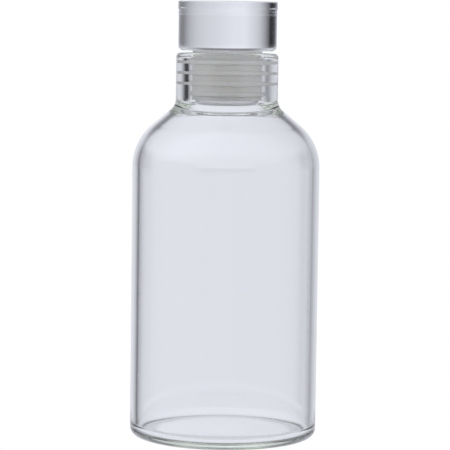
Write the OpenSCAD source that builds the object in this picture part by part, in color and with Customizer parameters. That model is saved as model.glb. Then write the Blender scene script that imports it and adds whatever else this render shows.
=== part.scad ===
// Glass water bottle with a solid glass stopper and a ribbed silicone seal.
// The origin is the centre of the foot, on the surface it stands on, and +Z is up.
// Every piece is turned about the bottle's own axis.

/* [Bottle] */
// Outside diameter of the body
body_d = 77; // [64:0.5:95]
// Height from the foot to the rim of the mouth
bottle_h = 158.4; // [120:0.1:220]
// Thickness of the body's wall
wall = 2.8; // [1.8:0.1:3.6]
// Thickness of the floor
floor_t = 2.6; // [2:0.1:4]
// Rounding between the body's side and the foot
heel_r = 3.6; // [2.6:0.1:6]
// Rounding inside, between the wall and the floor
inner_heel_r = 3.5; // [2:0.1:5]
// Width of the flat ring that the bottle stands on
foot_w = 2.5; // [1.5:0.1:4]
// How far the middle of the floor is pushed up
push_up = 0.9; // [0.3:0.1:1.6]

/* [Shoulder] */
// Radius of the shoulder's round start
shoulder_r = 22.5; // [12:0.5:28]
// How far the shoulder leans from upright where it runs up to the neck, in degrees
shoulder_lean = 50; // [35:1:60]
// Radius of the hollow between the shoulder and the neck
neck_fillet_r = 6; // [2:0.1:8]

/* [Neck] */
// Diameter of the neck's bore
bore_d = 32; // [26:0.1:40]
// Thickness of the neck's wall
neck_wall = 5; // [4.6:0.1:6.5]
// Height from the hollow above the shoulder to the rim
neck_h = 18.9; // [16:0.1:26]
// Rounding of the rim outside
lip_r = 1.8; // [0.8:0.1:2.2]
// Rounding of the rim inside
mouth_r = 2.7; // [0.8:0.1:3]
// How far the neck's thick glass reaches down inside the shoulder, to a step
step_drop = 7.1; // [6:0.1:9]
// Rounding between the bore and the step
step_edge_r = 1.2; // [0.6:0.1:1.8]
// Rounding between the step and the shoulder's inside
step_fillet_r = 0.8; // [0.4:0.1:1.4]

/* [Stopper] */
// Diameter of the head's grip
head_d = 40.4; // [33.4:0.1:48]
// Height of the head
head_h = 20.2; // [14:0.1:26]
// How far the head's top band stands out from the grip
band_out = 0.2; // [0.1:0.05:0.6]
// Height of the head's top band
band_h = 2.4; // [1.5:0.1:4]
// Height of the slope from the band down to the grip
band_slope_h = 1.2; // [0.4:0.1:2]
// Rounding of the head's lower edge
head_heel_r = 2.1; // [1:0.05:3]
// Rounding of the head's top edge
head_top_r = 0.7; // [0.3:0.1:1.4]
// Gap between the head and the rim
head_gap = 0.85; // [0.3:0.05:2]
// Height of the bead below the seal that keeps the seal on the plug
bead_h = 3.2; // [2:0.1:5]
// How far the bead stands out from the plug at its widest, near its lower end
bead_out = 1; // [0.5:0.05:1.4]
// How far the bead stands out where the seal sits on it
bead_step = 0.2; // [0.1:0.05:0.4]
// Rounding of the bead's lower edge
bead_edge_r = 0.4; // [0.2:0.1:0.8]

/* [Seal] */
// Length of the silicone sleeve
seal_h = 20; // [15:0.1:25]
// Thickness of the sleeve between its ribs
seal_wall = 1.65; // [1.2:0.05:2.4]
// Number of ribs around the sleeve
rib_count = 4; // [2:1:5]
// How far each rib stands out from the sleeve
rib_out = 1.65; // [1.2:0.05:2.4]
// Height of a rib where it leaves the sleeve
rib_root_h = 2.1; // [1.6:0.1:2.6]
// Height of a rib's tip
rib_tip_h = 1.4; // [0.6:0.1:1.6]
// Distance from the sleeve's top to the middle of the first rib
rib_start = 4.6; // [2:0.1:6]
// Distance from one rib to the next
rib_pitch = 4.3; // [3:0.05:5]

/* [Clearances] */
// Radial clearance between a rib's tip and the bore
bore_play = 0.05; // [0.02:0.01:0.1]
// Radial clearance between the seal and the plug
plug_play = 0.05; // [0.02:0.01:0.1]
// Clearance at each end of the seal
end_play = 0.1; // [0.05:0.05:0.3]

/* [Hidden] */
$fn = 128;
arc_steps = 10;
dome_steps = 8;

glass_colour = [0.86, 0.88, 0.91, 0.45];
silicone_colour = [0.74, 0.73, 0.71];

// Radii
body_r = body_d / 2;
bore_r = bore_d / 2;
neck_r = bore_r + neck_wall;
head_r = head_d / 2;
rib_tip_r = bore_r - bore_play;
seal_r = rib_tip_r - rib_out;
seal_bore_r = seal_r - seal_wall;
plug_r = seal_bore_r - plug_play;
bead_r = plug_r + bead_out;

// Heights above the foot
neck_z = bottle_h - neck_h;
step_z = neck_z - step_drop;
head_z = bottle_h + head_gap;
top_z = head_z + head_h;
seal_top_z = head_z - end_play;
seal_low_z = seal_top_z - seal_h;
bead_top_z = seal_low_z - end_play;
plug_low_z = bead_top_z - bead_h;

// Where the straight side ends and the shoulder starts
shoulder_z = neck_z - shoulder_rise();

// Points on an arc about (r, z), from angle a to angle b, both in degrees
function arc(r, z, radius, a, b, steps = arc_steps) =
    [for (i = [0 : steps]) let (t = a + (b - a) * i / steps) [r + radius * cos(t), z + radius * sin(t)]];

// Height of the shoulder's outside: a round start, a cone that leans by shoulder_lean,
// and the hollow under the neck
function shoulder_rise() =
    let (in = 1 - cos(shoulder_lean), up = sin(shoulder_lean), round_r = shoulder_r + neck_fillet_r)
    round_r * up + (body_r - neck_r - round_r * in) / tan(shoulder_lean);

// Radius at which the shoulder's inner cone would reach the height of the step
function step_r() =
    let (round_r = shoulder_r - wall, cone_z = shoulder_z + round_r * sin(shoulder_lean))
    body_r - shoulder_r + round_r * cos(shoulder_lean) - (step_z - cone_z) * tan(shoulder_lean);

// A shallow dome from the axis, where it is rise above z, out to radius r at z
function dome(r, z, rise) =
    let (ball = (r * r + rise * rise) / (2 * rise))
    [for (i = [0 : dome_steps]) let (x = r * i / dome_steps) [x, z + rise - ball + sqrt(ball * ball - x * x)]];

function reversed(points) = [for (i = [len(points) - 1 : -1 : 0]) points[i]];

// The bottle's outside, from the middle of the foot up to the rim
function outside() = concat(
    dome(body_r - heel_r - foot_w, 0, push_up),
    arc(body_r - heel_r, heel_r, heel_r, -90, 0),
    arc(body_r - shoulder_r, shoulder_z, shoulder_r, 0, shoulder_lean, 2 * arc_steps),
    arc(neck_r + neck_fillet_r, neck_z, neck_fillet_r, 180 + shoulder_lean, 180),
    arc(neck_r - lip_r, bottle_h - lip_r, lip_r, 0, 90)
);

// The bottle's inside, from the middle of the floor up to the rim
function inside() =
    let (fillet_in = step_fillet_r * tan(45 - shoulder_lean / 2))
    concat(
        dome(body_r - wall - inner_heel_r, floor_t, push_up),
        arc(body_r - wall - inner_heel_r, floor_t + inner_heel_r, inner_heel_r, -90, 0),
        arc(body_r - shoulder_r, shoulder_z, shoulder_r - wall, 0, shoulder_lean, 2 * arc_steps),
        arc(step_r() - fillet_in, step_z - step_fillet_r, step_fillet_r, shoulder_lean, 90),
        arc(bore_r + step_edge_r, step_z + step_edge_r, step_edge_r, 270, 180),
        arc(bore_r + mouth_r, bottle_h - mouth_r, mouth_r, 180, 90)
    );

// One rib of the seal, as the four points of its outline from its lower edge up
function rib(z) = [
    [seal_r, z - rib_root_h / 2],
    [rib_tip_r, z - rib_tip_h / 2],
    [rib_tip_r, z + rib_tip_h / 2],
    [seal_r, z + rib_root_h / 2]
];

module glass_bottle() {
    color(glass_colour)
        rotate_extrude()
            polygon(concat(outside(), reversed(inside())));
}

module glass_stopper() {
    plug = concat(
        [[0, plug_low_z]],
        arc(bead_r - bead_edge_r, plug_low_z + bead_edge_r, bead_edge_r, -90, 0),
        [[plug_r + bead_step, bead_top_z], [plug_r, bead_top_z], [plug_r, head_z]]
    );
    head = concat(
        arc(head_r - head_heel_r, head_z + head_heel_r, head_heel_r, -90, 0),
        [[head_r, top_z - band_h - band_slope_h], [head_r + band_out, top_z - band_h]],
        arc(head_r + band_out - head_top_r, top_z - head_top_r, head_top_r, 0, 90),
        [[0, top_z]]
    );
    color(glass_colour)
        rotate_extrude()
            polygon(concat(plug, head));
}

module silicone_sleeve() {
    lowest_rib = seal_top_z - rib_start - (rib_count - 1) * rib_pitch;
    ribs = [for (i = [0 : rib_count - 1]) each rib(lowest_rib + i * rib_pitch)];
    color(silicone_colour)
        rotate_extrude()
            polygon(concat(
                [[seal_bore_r, seal_low_z], [seal_r, seal_low_z]],
                ribs,
                [[seal_r, seal_top_z], [seal_bore_r, seal_top_z]]
            ));
}

glass_bottle();
glass_stopper();
silicone_sleeve();
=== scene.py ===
# %% [markdown]
# # A glass water bottle
#
# The bottle has three pieces: a clear glass bottle, a solid glass stopper, and a milky
# silicone sleeve on the stopper's plug. All three were turned about one axis, so each is
# made here the way a lathe would make it: draw half of its outline, then spin that
# outline about the upright axis. The look then depends on three things: smooth shapes,
# true glass that bends light, and surroundings that are worth seeing through it.

# %% Load the frame
from math import asin, cos, degrees, radians, sin, tan

import bmesh
import bpy
from mathutils import Matrix, Vector


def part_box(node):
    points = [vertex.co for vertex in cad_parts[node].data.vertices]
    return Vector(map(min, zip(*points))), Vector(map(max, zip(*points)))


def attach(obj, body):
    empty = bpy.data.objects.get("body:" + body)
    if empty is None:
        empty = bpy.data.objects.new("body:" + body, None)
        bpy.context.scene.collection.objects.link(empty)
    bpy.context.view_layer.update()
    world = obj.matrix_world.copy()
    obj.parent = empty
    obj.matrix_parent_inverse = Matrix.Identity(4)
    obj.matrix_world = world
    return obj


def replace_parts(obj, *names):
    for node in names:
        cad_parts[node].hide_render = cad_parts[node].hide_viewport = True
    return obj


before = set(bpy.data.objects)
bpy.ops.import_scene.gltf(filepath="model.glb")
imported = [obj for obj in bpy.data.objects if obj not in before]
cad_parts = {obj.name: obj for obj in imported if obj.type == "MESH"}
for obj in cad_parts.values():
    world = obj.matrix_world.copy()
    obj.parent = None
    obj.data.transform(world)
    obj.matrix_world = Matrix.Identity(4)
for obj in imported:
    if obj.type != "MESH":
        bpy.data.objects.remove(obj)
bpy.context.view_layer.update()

# %% [markdown]
# ## Sizes
#
# The frame already holds every piece at its real place, so the main sizes are read from
# it and never typed twice. Only what a box can't show is written out, such as walls and
# roundings, each where it is first needed. Blender works in metres, so a millimetre is
# given a name of its own.

# %% Main sizes, read from the frame
MM = 0.001

bottle_low, bottle_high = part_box("glass_bottle")
stopper_low, stopper_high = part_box("glass_stopper")
sleeve_low, sleeve_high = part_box("silicone_sleeve")

body_r = bottle_high.x
rim_z = bottle_high.z
band_r = stopper_high.x
top_z = stopper_high.z
plug_low_z = stopper_low.z
rib_tip_r = sleeve_high.x
print(f"body {2 * body_r / MM:.1f} mm across, {top_z / MM:.1f} mm high with its stopper")

# %% [markdown]
# ## Drawing an outline with a pen
#
# An outline could be typed as a long list of points, but a turner thinks in straight
# cuts and round cuts. Two small helpers do the same with mesh operators. `straight`
# extrudes the last vertex along a line. `turn` spins it about a centre, which gives a
# true arc. Long straight stretches get a few points on the way: smooth shading blends
# the light from ring to ring, and with evenly spaced rings the blend stays short.


# %% The pen
def pen_down(bm, r, z):
    """Starts an outline in the plane where x is the distance from the axis."""
    return bm.verts.new((r, 0, z))


def straight(bm, tip, r, z, steps=1):
    """Draws a line from the pen's tip to radius r and height z, and gives the new tip."""
    start = tip.co.copy()
    end = Vector((r, 0, z))
    for i in range(steps):
        tip = bmesh.ops.extrude_vert_indiv(bm, verts=[tip])["verts"][0]
        tip.co = start.lerp(end, (i + 1) / steps)
    return tip


def turn(bm, tip, r, z, angle, steps=12):
    """Draws an arc about the centre (r, z). A positive angle runs counter-clockwise."""
    arc = bmesh.ops.spin(bm, geom=[tip], cent=(r, 0, z), axis=(0, -1, 0), angle=radians(angle), steps=steps)
    return next(part for part in arc["geom_last"] if isinstance(part, bmesh.types.BMVert))


# %% [markdown]
# ## The lathe
#
# The lathe itself is one operator. A full spin with `use_merge` closes the last ring
# onto the first. Points on the axis land on each other, so they are merged, and the
# normals are then worked out again, because a spin can leave a shape inside out. Glass
# needs them to point outwards: they tell the renderer which side is air. Corners that
# are truly sharp are marked, so that smooth shading doesn't smear light around them.

# %% The lathe
SEGMENTS = 192
SHARP = radians(32)


def lathe(bm, name):
    """Spins the outline about the upright axis and gives a smooth, closed object."""
    outline = bm.verts[:] + bm.edges[:]
    bmesh.ops.spin(bm, geom=outline, cent=(0, 0, 0), axis=(0, 0, 1), angle=radians(360),
                   steps=SEGMENTS, use_merge=True)
    bmesh.ops.remove_doubles(bm, verts=bm.verts, dist=0.0005 * MM)
    bmesh.ops.recalc_face_normals(bm, faces=bm.faces)
    for face in bm.faces:
        face.smooth = True
    open_edges = sum(1 for edge in bm.edges if not edge.is_manifold)
    volume = bm.calc_volume(signed=True)
    mesh = bpy.data.meshes.new(name)
    bm.to_mesh(mesh)
    bm.free()
    mesh.set_sharp_from_angle(angle=SHARP)
    piece = bpy.data.objects.new(name, mesh)
    bpy.context.scene.collection.objects.link(piece)
    print(f"{name}: {len(mesh.polygons)} faces, {open_edges} open edges, {volume * 1e6:.1f} ml of material")
    return piece


# %% [markdown]
# ## The bottle's outside
#
# The bottle was blown from thick glass. Its straight side runs into a round shoulder,
# then a short cone, then a soft hollow below the neck. Each arc starts in the direction
# in which the last stretch ended, so no crease shows: on clear glass a crease would be
# a bright line all the way round. The floor is pushed up a little, so that the bottle
# stands on a ring and doesn't rock.

# %% Foot and shoulder sizes
heel_r = 3.6 * MM
foot_w = 2.5 * MM
push_up = 0.9 * MM
shoulder_r = 22.5 * MM
shoulder_lean = 50
hollow_r = 6 * MM
lean = radians(shoulder_lean)
foot_r = body_r - heel_r
print(f"the bottle stands on a ring {2 * (foot_r - foot_w) / MM:.1f} to {2 * foot_r / MM:.1f} mm across")

# %% Neck sizes
bore_play = 0.05 * MM
neck_wall = 5 * MM
neck_h = 18.9 * MM
lip_r = 1.8 * MM
mouth_r = 2.7 * MM
bore_r = rib_tip_r + bore_play
neck_r = bore_r + neck_wall
neck_z = rim_z - neck_h
print(f"bore {2 * bore_r / MM:.1f} mm, neck {2 * neck_r / MM:.1f} mm across")

# %% Where the straight side ends
round_r = shoulder_r + hollow_r
cone_across = body_r - neck_r - round_r * (1 - cos(lean))
shoulder_z = neck_z - round_r * sin(lean) - cone_across / tan(lean)
cone_top = (neck_r + hollow_r * (1 - cos(lean)), neck_z - hollow_r * sin(lean))
print(f"the straight side ends {shoulder_z / MM:.1f} mm up, the neck starts at {neck_z / MM:.1f} mm")


# %% A shallow dome
def dome(r, rise):
    """Radius and angle of the shallow dome that rises by that much within radius r."""
    ball = (r * r + rise * rise) / (2 * rise)
    return ball, degrees(asin(r / ball))


# %% Draw the outside, from the middle of the foot to the rim
bm = bmesh.new()
ball, spread = dome(foot_r - foot_w, push_up)
tip = pen_down(bm, 0, push_up)
tip = turn(bm, tip, 0, push_up - ball, -spread, steps=16)
tip = straight(bm, tip, foot_r, 0, steps=3)
tip = turn(bm, tip, foot_r, heel_r, 90, steps=16)
tip = straight(bm, tip, body_r, shoulder_z, steps=24)
tip = turn(bm, tip, body_r - shoulder_r, shoulder_z, shoulder_lean, steps=24)
tip = straight(bm, tip, *cone_top, steps=3)
tip = turn(bm, tip, neck_r + hollow_r, neck_z, -shoulder_lean, steps=14)
tip = straight(bm, tip, neck_r, rim_z - lip_r, steps=6)
tip = turn(bm, tip, neck_r - lip_r, rim_z - lip_r, 90)
print(f"outside drawn with {len(bm.verts)} points, up to {tip.co.z / MM:.1f} mm")

# %% [markdown]
# ## The bottle's inside
#
# Inside and outside of the shoulder share the arc's centre: only the radius differs, by
# the wall. The neck's glass is much thicker, because it was pressed round a plug while
# it was soft, to give a true bore for the seal. The thick glass ends in a step inside
# the shoulder, and the step shows through the glass as a grey-green ring.

# %% Wall, floor and step sizes
wall = 2.8 * MM
floor_t = 2.6 * MM
inner_heel_r = 3.5 * MM
step_drop = 7.1 * MM
step_z = neck_z - step_drop
step_edge_r = 1.2 * MM
step_fillet_r = 0.8 * MM
inner_r = body_r - wall
inner_round_r = shoulder_r - wall
print(f"inside {2 * inner_r / MM:.1f} mm across, the step is {step_z / MM:.1f} mm up")

# %% The rounding between the step and the shoulder's inner cone
cone_low_z = shoulder_z + inner_round_r * sin(lean)
cone_low_r = body_r - shoulder_r + inner_round_r * cos(lean)
step_r = cone_low_r - (step_z - cone_low_z) * tan(lean)
fillet_r = step_r - step_fillet_r * tan(radians(45) - lean / 2)
fillet_z = step_z - step_fillet_r
print(f"the step runs from {2 * bore_r / MM:.1f} to {2 * step_r / MM:.1f} mm across")

# %% Draw the inside, from the rim down to the floor, and spin it
tip = straight(bm, tip, bore_r + mouth_r, rim_z)
tip = turn(bm, tip, bore_r + mouth_r, rim_z - mouth_r, 90, steps=14)
tip = straight(bm, tip, bore_r, step_z + step_edge_r, steps=8)
tip = turn(bm, tip, bore_r + step_edge_r, step_z + step_edge_r, 90, steps=10)
tip = straight(bm, tip, fillet_r, step_z, steps=3)
tip = turn(bm, tip, fillet_r, fillet_z, shoulder_lean - 90, steps=6)
tip = straight(bm, tip, cone_low_r, cone_low_z, steps=3)
tip = turn(bm, tip, body_r - shoulder_r, shoulder_z, -shoulder_lean, steps=24)
tip = straight(bm, tip, inner_r, floor_t + inner_heel_r, steps=24)
tip = turn(bm, tip, inner_r - inner_heel_r, floor_t + inner_heel_r, -90, steps=14)
ball, spread = dome(inner_r - inner_heel_r, push_up)
tip = turn(bm, tip, 0, floor_t + push_up - ball, spread, steps=16)
bottle = lathe(bm, "bottle")

# %% [markdown]
# ## The stopper
#
# The stopper is one solid casting: a wide head to grip, a plug, and a small bead at the
# plug's end that keeps the silicone from slipping off. The head's top carries a band
# that stands out by a fifth of a millimetre, where the mould's two parts met. It could
# be left out as too small to see, but solid glass magnifies it into a clear line.

# %% Head sizes
head_h = 20.2 * MM
band_out = 0.2 * MM
band_h = 2.4 * MM
band_slope_h = 1.2 * MM
head_heel_r = 2.1 * MM
head_top_r = 0.7 * MM
head_r = band_r - band_out
head_z = top_z - head_h
print(f"head {2 * head_r / MM:.1f} mm across and {head_h / MM:.1f} mm high")

# %% Plug and bead sizes
seal_wall = 1.65 * MM
rib_out = 1.65 * MM
plug_play = 0.05 * MM
bead_h = 3.2 * MM
bead_out = 1 * MM
bead_step = 0.2 * MM
bead_edge_r = 0.4 * MM
seal_r = rib_tip_r - rib_out
seal_bore_r = seal_r - seal_wall
plug_r = seal_bore_r - plug_play
bead_r = plug_r + bead_out
bead_top_z = plug_low_z + bead_h
print(f"plug {2 * plug_r / MM:.1f} mm across, its bead {2 * bead_r / MM:.1f} mm")

# %% Draw the stopper, from the plug's lower end to the top, and spin it
bm = bmesh.new()
tip = pen_down(bm, 0, plug_low_z)
tip = straight(bm, tip, bead_r - bead_edge_r, plug_low_z, steps=6)
tip = turn(bm, tip, bead_r - bead_edge_r, plug_low_z + bead_edge_r, 90, steps=8)
tip = straight(bm, tip, plug_r + bead_step, bead_top_z, steps=3)
tip = straight(bm, tip, plug_r, bead_top_z)
tip = straight(bm, tip, plug_r, head_z, steps=10)
tip = straight(bm, tip, head_r - head_heel_r, head_z, steps=4)
tip = turn(bm, tip, head_r - head_heel_r, head_z + head_heel_r, 90, steps=14)
tip = straight(bm, tip, head_r, top_z - band_h - band_slope_h, steps=6)
tip = straight(bm, tip, band_r, top_z - band_h, steps=2)
tip = straight(bm, tip, band_r, top_z - head_top_r, steps=2)
tip = turn(bm, tip, band_r - head_top_r, top_z - head_top_r, 90)
tip = straight(bm, tip, 0, top_z, steps=8)
stopper = lathe(bm, "stopper")

# %% [markdown]
# ## The silicone sleeve
#
# The sleeve is a moulded tube with four ribs. Each rib is thick at its root and blunt at
# its tip, so that it squeezes flat as it enters the bore. Where a rib really touches the
# glass, light can't turn back inside the glass as it does next to air, and the touch
# shows as a line through the neck. So three ribs press a few hundredths of a millimetre
# into the glass, and the lowest one, which sits looser, stays clear.

# %% Sleeve sizes
rib_count = 4
rib_root_h = 2.1 * MM
rib_tip_h = 1.4 * MM
rib_start = 4.6 * MM
rib_pitch = 4.3 * MM
rib_press = 0.08 * MM
rib_edge_r = 0.25 * MM
end_edge_r = 0.3 * MM
sleeve_h = sleeve_high.z - sleeve_low.z
print(f"sleeve {sleeve_h / MM:.1f} mm long, {2 * seal_r / MM:.1f} mm across between its ribs")


# %% One rib
def draw_rib(bm, tip, z, tip_r):
    """Draws a rib from its lower root, round its blunt tip, to its upper root."""
    half = rib_tip_h / 2
    tip = straight(bm, tip, seal_r, z - rib_root_h / 2, steps=2)
    tip = straight(bm, tip, tip_r - rib_edge_r, z - half, steps=3)
    tip = turn(bm, tip, tip_r - rib_edge_r, z - half + rib_edge_r, 90, steps=5)
    tip = straight(bm, tip, tip_r, z + half - rib_edge_r, steps=2)
    tip = turn(bm, tip, tip_r - rib_edge_r, z + half - rib_edge_r, 90, steps=5)
    return straight(bm, tip, seal_r, z + rib_root_h / 2, steps=3)


# %% Draw the sleeve and spin it
bm = bmesh.new()
tip = pen_down(bm, seal_bore_r, sleeve_low.z)
tip = straight(bm, tip, seal_r - end_edge_r, sleeve_low.z, steps=2)
tip = turn(bm, tip, seal_r - end_edge_r, sleeve_low.z + end_edge_r, 90, steps=6)
for i in reversed(range(rib_count)):
    press = rib_press if i < rib_count - 1 else 0
    tip = draw_rib(bm, tip, sleeve_high.z - rib_start - i * rib_pitch, rib_tip_r + press)
tip = straight(bm, tip, seal_r, sleeve_high.z - end_edge_r, steps=3)
tip = turn(bm, tip, seal_r - end_edge_r, sleeve_high.z - end_edge_r, 90, steps=6)
tip = straight(bm, tip, seal_bore_r, sleeve_high.z, steps=2)
tip = straight(bm, tip, seal_bore_r, sleeve_low.z, steps=12)
sleeve = lathe(bm, "sleeve")

# %% [markdown]
# ## Who moves with whom
#
# Each piece rides on the body that carries it, and stands for the plain CAD solid that
# it replaces. Nothing else is needed for the stopper to lift out and turn.

# %% Put the pieces on their bodies
for piece, body, node, finish in (
    (bottle, "bottle", "glass_bottle", "bottle_glass"),
    (stopper, "stopper", "glass_stopper", "stopper_glass"),
    (sleeve, "sleeve", "silicone_sleeve", "silicone"),
):
    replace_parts(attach(piece, body), node)

# %% [markdown]
# ## Node helpers
#
# A material is a small network. A few helpers keep the cells short: `add_node` places a
# node and sets its values in one call, `wire` joins an output to an input, and
# `fill_ramp` sets a colour ramp from a list of places and colours.


# %% Nodes, wires and ramps
def add_node(tree, kind, **settings):
    """Adds a node. Each setting is a property of the node, or else one of its inputs."""
    node = tree.nodes.new(kind)
    for name, value in settings.items():
        if hasattr(node, name):
            setattr(node, name, value)
        else:
            node.inputs[name.replace("_", " ")].default_value = value
    return node


def wire(tree, source, output, target, entry):
    """Joins one node's output to another node's input."""
    tree.links.new(source.outputs[output], target.inputs[entry])


def fill_ramp(node, stops):
    """Sets a colour ramp's stops, spread so that the first is at 0 and the last at 1."""
    low, high = stops[0][0], stops[-1][0]
    elements = node.color_ramp.elements
    for place, colour in stops[1:-1]:
        elements.new((place - low) / (high - low)).color = (*colour, 1)
    elements[0].color = (*stops[0][1], 1)
    elements[-1].color = (*stops[-1][1], 1)


# %% Start a material, start a node group, place a group
def new_material(name):
    """A material with a Principled BSDF wired to its output."""
    material = bpy.data.materials.new(name)
    material.use_nodes = True
    tree = material.node_tree
    return material, tree, tree.nodes["Principled BSDF"]


def new_group(name, entries, leaving):
    """A shader group with number inputs, one number output, and its two end nodes."""
    group = bpy.data.node_groups.new(name, "ShaderNodeTree")
    for entry, value in entries.items():
        socket = group.interface.new_socket(entry, in_out="INPUT", socket_type="NodeSocketFloat")
        socket.default_value = value
    group.interface.new_socket(leaving, in_out="OUTPUT", socket_type="NodeSocketFloat")
    print("group", name, "takes", list(entries), "and gives", leaving)
    return group, group.nodes.new("NodeGroupInput"), group.nodes.new("NodeGroupOutput")


def place_group(tree, group, **values):
    """Puts a group into a material, with the material's own values."""
    node = tree.nodes.new("ShaderNodeGroup")
    node.node_tree = group
    for name, value in values.items():
        node.inputs[name.replace("_", " ")].default_value = value
    return node


# %% [markdown]
# ## Slow waves
#
# Blown glass is never quite even. Its surface swells and dips by a few hundredths of a
# millimetre over a centimetre or two, and that makes the lines seen through it wander.
# The waves could be modelled, but they are far below the mesh, so a soft noise drives a
# bump instead. Glass that turned while it was worked has its waves drawn out around the
# axis, so the noise can be squeezed along Z by the Stretch input. With a large Scale the
# same group gives the fine grain of moulded silicone.

# %% Waves group
waves, entry, leave = new_group("slow waves", {"Scale": 60, "Stretch": 1, "Detail": 1}, "Height")
where = add_node(waves, "ShaderNodeTexCoord")
squeeze = add_node(waves, "ShaderNodeCombineXYZ", X=1, Y=1)
squeezed = add_node(waves, "ShaderNodeVectorMath", operation="MULTIPLY")
noise = add_node(waves, "ShaderNodeTexNoise", Roughness=0.4)
wire(waves, entry, "Stretch", squeeze, "Z")
wire(waves, where, "Object", squeezed, 0)
wire(waves, squeeze, 0, squeezed, 1)
wire(waves, squeezed, 0, noise, "Vector")
wire(waves, entry, "Scale", noise, "Scale")
wire(waves, entry, "Detail", noise, "Detail")
wire(waves, noise, 0, leave, "Height")

# %% [markdown]
# ## Handling marks
#
# A bottle in use has faint smears where fingers were, and specks of dust. Both only
# change how sharp the surface looks, so this group gives one value between 0 and 1 that
# drives roughness. Broad noise places the smears, and small cells make the specks: a
# cell counts only near its centre. The glass and the silicone both use it.

# %% Handling group
marks, entry, leave = new_group("handling marks", {"Smears": 0.5, "Specks": 0.5, "Scale": 40}, "Mask")
where = add_node(marks, "ShaderNodeTexCoord")
broad = add_node(marks, "ShaderNodeTexNoise", Detail=4, Roughness=0.6)
patches = add_node(marks, "ShaderNodeMapRange", From_Min=0.52, From_Max=0.78)
smears = add_node(marks, "ShaderNodeMath", operation="MULTIPLY")
cells = add_node(marks, "ShaderNodeTexVoronoi", Scale=900)
dots = add_node(marks, "ShaderNodeMapRange", From_Min=0.16, From_Max=0.06)
specks = add_node(marks, "ShaderNodeMath", operation="MULTIPLY")
both = add_node(marks, "ShaderNodeMath", operation="ADD", use_clamp=True)
wire(marks, where, "Object", broad, "Vector")
wire(marks, entry, "Scale", broad, "Scale")
wire(marks, broad, 0, patches, "Value")
wire(marks, patches, 0, smears, 0)
wire(marks, entry, "Smears", smears, 1)
wire(marks, where, "Object", cells, "Vector")
wire(marks, cells, "Distance", dots, "Value")
wire(marks, dots, 0, specks, 0)
wire(marks, entry, "Specks", specks, 1)
wire(marks, smears, 0, both, 0)
wire(marks, specks, 0, both, 1)
wire(marks, both, 0, leave, "Mask")

# %% [markdown]
# ## Wear where it stands
#
# The ring that a bottle stands on is the only part that rubs on stone and metal every
# day. It turns matt, and fine scratches break up the edge of the matt zone. The group
# reads the height above the piece's lowest point and gives 1 in the worn zone. The
# stopper gets the same wear on the end of its plug, where it is put down on a table.

# %% Wear group
wear, entry, leave = new_group("standing wear", {"Base Height": 0, "Reach": 0.0004}, "Mask")
where = add_node(wear, "ShaderNodeTexCoord")
split = add_node(wear, "ShaderNodeSeparateXYZ")
above = add_node(wear, "ShaderNodeMath", operation="SUBTRACT")
scratch = add_node(wear, "ShaderNodeTexNoise", Scale=1500, Detail=3)
ragged = add_node(wear, "ShaderNodeMath", operation="MULTIPLY")
zone = add_node(wear, "ShaderNodeMath", operation="LESS_THAN")
wire(wear, where, "Object", split, 0)
wire(wear, split, "Z", above, 0)
wire(wear, entry, "Base Height", above, 1)
wire(wear, where, "Object", scratch, "Vector")
wire(wear, scratch, 0, ragged, 0)
wire(wear, entry, "Reach", ragged, 1)
wire(wear, above, 0, zone, 0)
wire(wear, ragged, 0, zone, 1)
wire(wear, zone, 0, leave, "Mask")

# %% [markdown]
# ## Clear glass
#
# Glass is a smooth surface that bends light, with an index of 1.47 for the hard glass of
# drinkware. Its colour isn't painted on: it comes from depth. A thin wall looks clear
# and a rim looks green, because light that travels along the rim passes through
# centimetres of glass. So the tint is a volume absorption. The solid stopper was pressed
# from a whiter melt, so it is almost free of tint.

# %% Glass finish values
SMEAR_ROUGHNESS = 0.03
WORN_ROUGHNESS = 0.28
WORN_REACH = 0.5 * MM
GLASS_IOR = 1.47
BOTTLE_TINT = (0.78, 0.88, 0.66)
BOTTLE_TINT_DENSITY = 5
STOPPER_TINT = (0.70, 0.80, 0.80)
STOPPER_TINT_DENSITY = 1.5
BOTTLE_WAVE_DEPTH = 0.03 * MM
STOPPER_WAVE_DEPTH = 0.01 * MM


# %% Glass material
def clear_glass(name, base_z, tint, density, wave_scale, wave_depth):
    """Glass with slow waves, faint marks, and wear where it stands."""
    material, tree, shader = new_material(name)
    shader.inputs["Base Color"].default_value = (1, 1, 1, 1)
    shader.inputs["IOR"].default_value = GLASS_IOR
    shader.inputs["Transmission Weight"].default_value = 1
    ripple = place_group(tree, waves, Scale=wave_scale, Stretch=2)
    bump = add_node(tree, "ShaderNodeBump", Strength=1, Distance=wave_depth)
    handled = place_group(tree, marks, Smears=0.6, Specks=0.5, Scale=45)
    worn = place_group(tree, wear, Base_Height=base_z, Reach=WORN_REACH)
    faint = add_node(tree, "ShaderNodeMath", operation="MULTIPLY")
    faint.inputs[1].default_value = SMEAR_ROUGHNESS
    rough = add_node(tree, "ShaderNodeMath", operation="MULTIPLY_ADD", use_clamp=True)
    rough.inputs[1].default_value = WORN_ROUGHNESS
    wire(tree, ripple, "Height", bump, "Height")
    wire(tree, bump, "Normal", shader, "Normal")
    wire(tree, handled, "Mask", faint, 0)
    wire(tree, worn, "Mask", rough, 0)
    wire(tree, faint, 0, rough, 2)
    wire(tree, rough, 0, shader, "Roughness")
    volume = add_node(tree, "ShaderNodeVolumeAbsorption", Color=(*tint, 1), Density=density)
    wire(tree, volume, "Volume", tree.nodes["Material Output"], "Volume")
    print(name, "ready, waves", wave_depth / MM, "mm deep")
    return material


# %% Glass on the bottle and the stopper
blown = clear_glass("bottle glass", 0, BOTTLE_TINT, BOTTLE_TINT_DENSITY, 30, BOTTLE_WAVE_DEPTH)
pressed = clear_glass("stopper glass", plug_low_z, STOPPER_TINT, STOPPER_TINT_DENSITY, 45, STOPPER_WAVE_DEPTH)
bottle.data.materials.append(blown)
stopper.data.materials.append(pressed)

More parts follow.
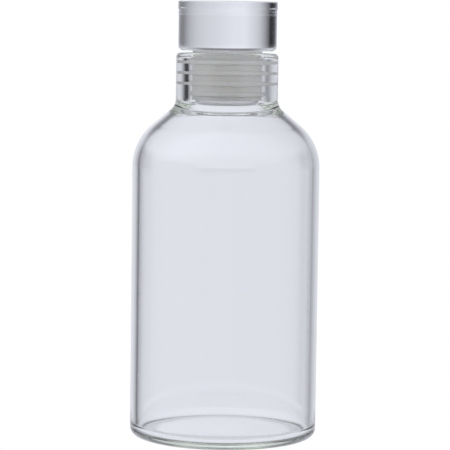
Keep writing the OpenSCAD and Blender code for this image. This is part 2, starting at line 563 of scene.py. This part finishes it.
# %% [markdown]
# ## Milky silicone
#
# Clear silicone rubber is full of fine silica, which scatters light inside it. It could
# be faked with a pale colour, but then its edges would look like chalk. Subsurface
# scattering lets light enter, wander for about a millimetre and come out again, so the
# ribs glow softly where they are thin. The mix is cloudy by a few per cent, and the
# moulded skin is satin, with a fine grain.

# %% Silicone finish values
CLOUDY = (0.95, 0.925, 0.845)
PALE = (0.98, 0.96, 0.895)
LIGHT_WANDERS = 0.7 * MM
SATIN = (0.42, 0.6)
GRAIN_DEPTH = 0.01 * MM

# %% Silicone material
material, tree, shader = new_material("silicone")
shader.inputs["Subsurface Weight"].default_value = 1
shader.inputs["Subsurface Radius"].default_value = (1, 0.95, 0.9)
shader.inputs["Subsurface Scale"].default_value = LIGHT_WANDERS
cloud = place_group(tree, waves, Scale=160, Detail=3)
colour = add_node(tree, "ShaderNodeValToRGB")
fill_ramp(colour, [(0, CLOUDY), (1, PALE)])
grain = place_group(tree, waves, Scale=4000, Detail=2)
bump = add_node(tree, "ShaderNodeBump", Strength=0.35, Distance=GRAIN_DEPTH)
handled = place_group(tree, marks, Smears=0.5, Specks=1, Scale=90)
rough = add_node(tree, "ShaderNodeMapRange", To_Min=SATIN[0], To_Max=SATIN[1])
wire(tree, cloud, "Height", colour, 0)
wire(tree, colour, 0, shader, "Base Color")
wire(tree, grain, "Height", bump, "Height")
wire(tree, bump, "Normal", shader, "Normal")
wire(tree, handled, "Mask", rough, "Value")
wire(tree, rough, 0, shader, "Roughness")
sleeve.data.materials.append(material)
print("silicone on", sleeve.name)

# %% [markdown]
# ## Camera
#
# A long lens from about a metre away keeps the bottle's sides parallel. The camera looks
# down by 5 degrees, so the stopper is level with the eye and the foot is seen from above.
# It leans by less than a degree, as a camera on a stand does.

# %% Camera
distance = 924 * MM
view_w = 185.9 * MM
pitch = radians(5)
roll = radians(0.75)
target = Vector((-0.08 * MM, 0, 87.5 * MM))
camera_data = bpy.data.cameras.new("camera")
camera_data.sensor_width = 36
camera_data.lens = camera_data.sensor_width * distance / view_w
camera = bpy.data.objects.new("camera", camera_data)
bpy.context.scene.collection.objects.link(camera)
bpy.context.scene.camera = camera
camera.location = target + distance * Vector((0, -cos(pitch), sin(pitch)))
camera.rotation_euler = (radians(90) - pitch, 0, 0)
camera.rotation_euler.rotate_axis("Z", roll)
bpy.context.view_layer.update()
print(f"lens {camera_data.lens:.0f} mm, eye {camera.location.z / MM:.0f} mm above the floor")

# %% [markdown]
# ## Floor and backdrop
#
# Glass on white is a classic of product photography: floor and backdrop burn out to one
# pale field, with no horizon. Both glow white where the camera sees them directly, and
# give a calmer grey-blue light to everything else. A Light Path node tells the two
# apart. The floor hides from rays that come through the glass, so its edge doesn't draw
# a false horizon inside the bottle.


# %% Two-faced glow
def two_faced(tree, output, kind, seen_colour, other_colour):
    """Wires one glow for the camera and another for all other light."""
    path = add_node(tree, "ShaderNodeLightPath")
    seen = add_node(tree, kind, Color=(*seen_colour, 1))
    other = add_node(tree, kind, Color=(*other_colour, 1))
    mix = add_node(tree, "ShaderNodeMixShader")
    wire(tree, path, "Is Camera Ray", mix, 0)
    wire(tree, other, 0, mix, 1)
    wire(tree, seen, 0, mix, 2)
    wire(tree, mix, 0, output, 0)


# %% Floor
WHITE = (1, 1, 1)
FLOOR_HALF = 4
FLOOR_DROP = 0.02 * MM
FLOOR_LIGHT = (0.74, 0.765, 0.83)
bm = bmesh.new()
bmesh.ops.create_grid(bm, x_segments=1, y_segments=1, size=FLOOR_HALF)
floor_mesh = bpy.data.meshes.new("floor")
bm.to_mesh(floor_mesh)
bm.free()
floor = bpy.data.objects.new("floor", floor_mesh)
bpy.context.scene.collection.objects.link(floor)
floor.location.z = -FLOOR_DROP
floor.visible_transmission = False
floor.visible_glossy = False
material = bpy.data.materials.new("floor")
material.use_nodes = True
material.node_tree.nodes.clear()
output = add_node(material.node_tree, "ShaderNodeOutputMaterial")
two_faced(material.node_tree, output, "ShaderNodeEmission", WHITE, FLOOR_LIGHT)
floor_mesh.materials.append(material)
print("floor laid")

# %% Backdrop
ROOM_LIGHT = (0.75, 0.75, 0.76)
world = bpy.data.worlds.new("studio")
bpy.context.scene.world = world
world.use_nodes = True
world.node_tree.nodes.clear()
output = add_node(world.node_tree, "ShaderNodeOutputWorld")
two_faced(world.node_tree, output, "ShaderNodeBackground", WHITE, ROOM_LIGHT)
bpy.context.scene.view_settings.view_transform = "Standard"
print("backdrop hung")

# %% [markdown]
# ## Light tent
#
# Clear glass has no look of its own: it shows its surroundings, bent. A photographer
# stands it in a tent of white walls and dark cards. The edges of a glass cylinder bend
# light in from the sides, so the cards at the sides draw its outline. The tent here is a
# ball around the bottle, seen only by mirrored and bent rays. It hangs on the camera, as
# a photographer's cards are set for each view.
#
# An upright glass wall keeps a ray's slope, and the lens is level with the stopper. The
# stopper therefore shows a narrow belt of the tent at its own height, and the body shows
# the part below that belt. Each belt can be lit for the piece that shows it, and the
# milky sleeve gathers light from all of them.

# %% Tent
TENT_R = 2
bm = bmesh.new()
bmesh.ops.create_uvsphere(bm, u_segments=96, v_segments=48, radius=TENT_R)
tent_mesh = bpy.data.meshes.new("light tent")
bm.to_mesh(tent_mesh)
bm.free()
tent = bpy.data.objects.new("light tent", tent_mesh)
bpy.context.scene.collection.objects.link(tent)
tent.parent = camera
upright = Matrix.Rotation(pitch - radians(90), 4, "X")
tent.matrix_parent_inverse = Matrix.Translation((0, 0, -distance)) @ upright
tent.visible_camera = False
tent.visible_diffuse = False
tent.visible_shadow = False
tent.visible_volume_scatter = False
print("tent hung round the bottle, radius", TENT_R, "m")

# %% How brightly the tent's walls and cards glow
TINT = Vector((0.97, 0.985, 1.08))
BLACK = 0.006
DARK_CARD = 0.03
GREY_CARD = 0.29
WALL_EDGE = 0.6
SIDE_BOX = 0.6
BACK_WALL = 0.83
FRONT_CARD = 1
FLOOR_GLOW = 0.82
print("back wall", BACK_WALL, "side boxes", SIDE_BOX, "grey card", GREY_CARD, "black card", BLACK)

# %% Where they stand round the tent, in degrees from the middle of the back, with plus to the right
LENS_GAP_EDGE = 152
HEAD_LEVEL = [
    (-180, BLACK), (-LENS_GAP_EDGE, BLACK), (-138, SIDE_BOX), (-84, SIDE_BOX), (-62, BLACK), (-46, BLACK),
    (-26, WALL_EDGE), (-12, BACK_WALL), (-4, BACK_WALL), (26, WALL_EDGE), (50, GREY_CARD), (67, GREY_CARD),
    (95, SIDE_BOX), (138, SIDE_BOX), (LENS_GAP_EDGE, BLACK), (180, BLACK),
]
BODY_LEVEL = [
    (-180, SIDE_BOX), (-90, SIDE_BOX), (-62, 0.5), (-46, DARK_CARD), (-40, 0.1), (-30, WALL_EDGE), (-12, 0.8),
    (12, 0.76), (30, 0.55), (46, 0.25), (62, 0.5), (90, SIDE_BOX), (180, SIDE_BOX),
]
ABOVE_LENS_LEVEL = [
    (place, FRONT_CARD if abs(place) >= LENS_GAP_EDGE else share) for place, share in HEAD_LEVEL
]
ROOF_LEVEL = [
    (-180, 1), (-115, 1.2), (-65, 0.5), (-35, 0.45), (-20, 0.2),
    (20, 0.2), (35, 0.45), (65, 0.5), (115, 1), (180, 1),
]
print("stops: head", len(HEAD_LEVEL), "body", len(BODY_LEVEL), "roof", len(ROOF_LEVEL))

# %% Heights in metres, counted from the middle of the bottle, where one level fades into the next
FLOOR_TO_BODY = (-0.7, -0.5)
BODY_TO_HEAD = (-0.08, -0.03)
HEAD_TO_ABOVE = (0.17, 0.25)
ABOVE_TO_ROOF = (0.4, 0.6)
print("levels meet at", FLOOR_TO_BODY, BODY_TO_HEAD, HEAD_TO_ABOVE, ABOVE_TO_ROOF)

# %% Where a ray meets the tent
material = bpy.data.materials.new("light tent")
material.use_nodes = True
tree = material.node_tree
tree.nodes.clear()
where = add_node(tree, "ShaderNodeTexCoord")
split = add_node(tree, "ShaderNodeSeparateXYZ")
turned = add_node(tree, "ShaderNodeMath", operation="ARCTAN2")
round_place = add_node(tree, "ShaderNodeMapRange", From_Min=radians(-180), From_Max=radians(180))
wire(tree, where, "Object", split, 0)
wire(tree, split, "X", turned, 0)
wire(tree, split, "Y", turned, 1)
wire(tree, turned, 0, round_place, "Value")
print("angle and height found")


# %% One level of glow, and one level faded into the next above it
def level(stops):
    """A ramp round the tent."""
    ramp = add_node(tree, "ShaderNodeValToRGB")
    fill_ramp(ramp, [(place, share * TINT) for place, share in stops])
    wire(tree, round_place, 0, ramp, 0)
    return ramp


def fade(lower, upper, heights):
    """The lower level below the first height, and the upper level above the second."""
    share = add_node(tree, "ShaderNodeMapRange", From_Min=heights[0], From_Max=heights[1])
    mixed = add_node(tree, "ShaderNodeMixRGB")
    wire(tree, split, "Z", share, "Value")
    wire(tree, share, 0, mixed, "Fac")
    wire(tree, lower, 0, mixed, "Color1")
    wire(tree, upper, 0, mixed, "Color2")
    return mixed


# %% The glow, from the floor up
floor_level = level([(-180, FLOOR_GLOW), (180, FLOOR_GLOW)])
up_to_body = fade(floor_level, level(BODY_LEVEL), FLOOR_TO_BODY)
up_to_head = fade(up_to_body, level(HEAD_LEVEL), BODY_TO_HEAD)
up_to_above = fade(up_to_head, level(ABOVE_LENS_LEVEL), HEAD_TO_ABOVE)
up_to_roof = fade(up_to_above, level(ROOF_LEVEL), ABOVE_TO_ROOF)
glow = add_node(tree, "ShaderNodeEmission")
output = add_node(tree, "ShaderNodeOutputMaterial")
wire(tree, up_to_roof, 0, glow, "Color")
wire(tree, glow, 0, output, 0)
tent_mesh.materials.append(material)
print("tent lit")

# %% [markdown]
# ## Enough bounces
#
# A ray that slips along inside a thick wall is mirrored again and again before it gets
# out. If the renderer gives up first, the spot turns black, so rims and the neck would
# fill with false shadows. Glass therefore gets more bounces than other scenes need.

# %% Bounces
BOUNCES = 32
cycles = bpy.context.scene.cycles
cycles.max_bounces = cycles.glossy_bounces = cycles.transmission_bounces = BOUNCES
print("bounces:", cycles.max_bounces)
